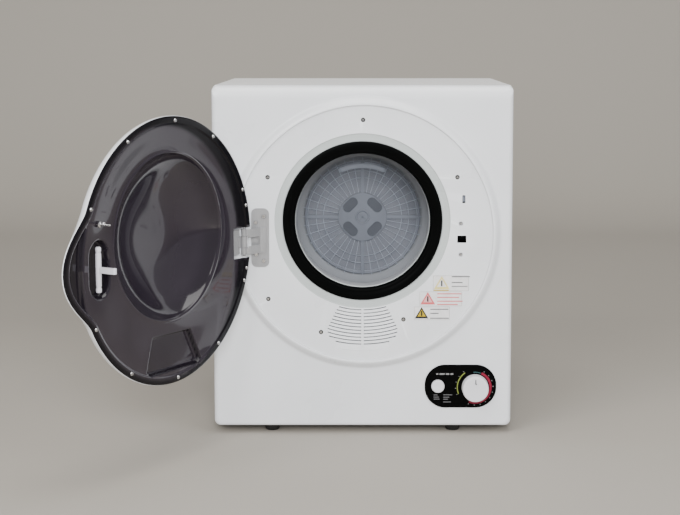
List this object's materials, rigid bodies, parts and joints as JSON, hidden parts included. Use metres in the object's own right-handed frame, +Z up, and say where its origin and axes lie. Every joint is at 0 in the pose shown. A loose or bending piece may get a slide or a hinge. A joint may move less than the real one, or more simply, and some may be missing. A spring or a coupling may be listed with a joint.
{
  "type": "clothes dryer",
  "caption": "Compact front-loading tumble dryer on feet, with a round smoky door standing open, a white cabinet and a black control fascia with a timer knob.",
  "frame": {"origin": "on the floor, under the middle of the cabinet, centred between the four feet", "axes": "+Z up, the front with the door faces -Y, +X to the right seen from the front"},
  "size_m": [0.6657, 0.8094, 0.574],
  "materials": {
    "white_plastic": "smooth glossy moulding, faintly cool white",
    "white_paint": "white powder-coated sheet steel",
    "black_rubber": "matt black",
    "black_seal": "satin black",
    "hinge_steel": "satin",
    "zinc_sheet": "galvanised",
    "drum_steel": "satin",
    "grey_plastic": "blue-grey moulding",
    "smoke_plastic": "smoky translucent",
    "black_plastic": "gloss black",
    "felt": "pressed felt",
    "bronze": "sintered bronze"
  },
  "bodies": {
    "cabinet": {"front_panel": "white_plastic", "side_panel_left": "white_paint", "side_panel_right": "white_paint", "top_panel": "white_paint", "back_panel": "white_paint", "base_pan": "zinc_sheet", "foot_front_left": "black_rubber", "foot_front_right": "black_rubber", "foot_rear_left": "black_rubber", "foot_rear_right": "black_rubber", "door_seal": "black_seal", "drum_front_support": "white_plastic", "drum_felt_seal": "felt", "control_fascia": "black_plastic", "timer_body": "black_plastic", "selector_switch_body": "black_plastic", "latch_strike": "black_plastic", "door_switch_body": "black_plastic", "hinge_plate": "hinge_steel", "hinge_arm": "hinge_steel", "hinge_pin": "hinge_steel", "hinge_screw_1": "hinge_steel", "hinge_screw_2": "hinge_steel", "hinge_screw_3": "hinge_steel", "hinge_screw_4": "hinge_steel", "rear_bulkhead": "zinc_sheet", "drum_bearing": "bronze", "motor_body": "zinc_sheet", "motor_bracket": "zinc_sheet", "idler_bracket": "zinc_sheet", "drum_belt": "black_rubber", "fan_belt": "black_rubber", "fan_housing": "black_plastic", "exhaust_collar": "white_plastic", "heater_box": "zinc_sheet", "air_duct": "grey_plastic", "cord_gland": "black_rubber"},
    "door": {"door_frame": "white_plastic", "door_window": "smoke_plastic", "door_liner": "smoke_plastic", "hinge_leaf": "hinge_steel", "switch_pin": "hinge_steel"},
    "latch": {"latch_hook": "white_plastic"},
    "drum": {"drum_shell": "drum_steel", "drum_rear_plate": "drum_steel", "drum_shaft": "hinge_steel", "drum_baffle_1": "grey_plastic", "drum_baffle_2": "grey_plastic", "drum_baffle_3": "grey_plastic", "lint_screen": "grey_plastic"},
    "filter": {"filter_cover": "grey_plastic"},
    "motor_rotor": {"motor_shaft": "hinge_steel", "fan_drive_pulley": "black_plastic"},
    "blower": {"blower_wheel": "grey_plastic", "blower_pulley": "black_plastic"},
    "idler": {"idler_pulley": "black_plastic"},
    "timer": {"timer_knob": "white_plastic"},
    "button": {"selector_button": "white_plastic"},
    "door_switch": {"door_switch_plunger": "grey_plastic"}
  },
  "joints": [
    {"name": "door_hinge", "type": "hinge", "parent": "cabinet", "child": "door", "pos_m": [-0.191, -0.222, 0.3225], "axis": [0, 0, 1], "range_deg": [-10, 121.5]},
    {"name": "latch_pivot", "type": "hinge", "parent": "door", "child": "latch", "pos_m": [-0.37406, -0.5236, 0.3235], "axis": [0, 0, 1], "range_deg": [-6, 7], "stiffness_Nm_per_rad": 0.05},
    {"name": "drum_spin", "type": "hinge", "parent": "cabinet", "child": "drum", "pos_m": [0, 0, 0.332], "axis": [0, 1, 0], "continuous": true},
    {"name": "filter_pull", "type": "slide", "parent": "drum", "child": "filter", "axis": [0, -1, 0], "range_m": [0, 0.12]},
    {"name": "motor_spin", "type": "hinge", "parent": "cabinet", "child": "motor_rotor", "pos_m": [0.122, 0, 0.084], "axis": [0, 1, 0], "continuous": true},
    {"name": "blower_spin", "type": "hinge", "parent": "cabinet", "child": "blower", "pos_m": [0, 0.15, 0.332], "axis": [0, 1, 0], "continuous": true},
    {"name": "idler_spin", "type": "hinge", "parent": "cabinet", "child": "idler", "pos_m": [0.05468, -0.06, 0.07852], "axis": [0, 1, 0], "continuous": true},
    {"name": "timer_turn", "type": "hinge", "parent": "cabinet", "child": "timer", "pos_m": [0.1853, -0.2, 0.0772], "axis": [0, 1, 0], "range_deg": [0, 320]},
    {"name": "button_push", "type": "slide", "parent": "cabinet", "child": "button", "axis": [0, 1, 0], "range_m": [0, 0.003], "stiffness_N_per_m": 400},
    {"name": "door_switch_push", "type": "slide", "parent": "cabinet", "child": "door_switch", "axis": [0, 1, 0], "range_m": [0, 0.004], "stiffness_N_per_m": 200}
  ],
  "couplings": [
    {"joint": "motor_spin", "follows": "drum_spin", "ratio": 18.087},
    {"joint": "blower_spin", "follows": "drum_spin", "ratio": 11.114},
    {"joint": "idler_spin", "follows": "drum_spin", "ratio": -14.929}
  ]
}
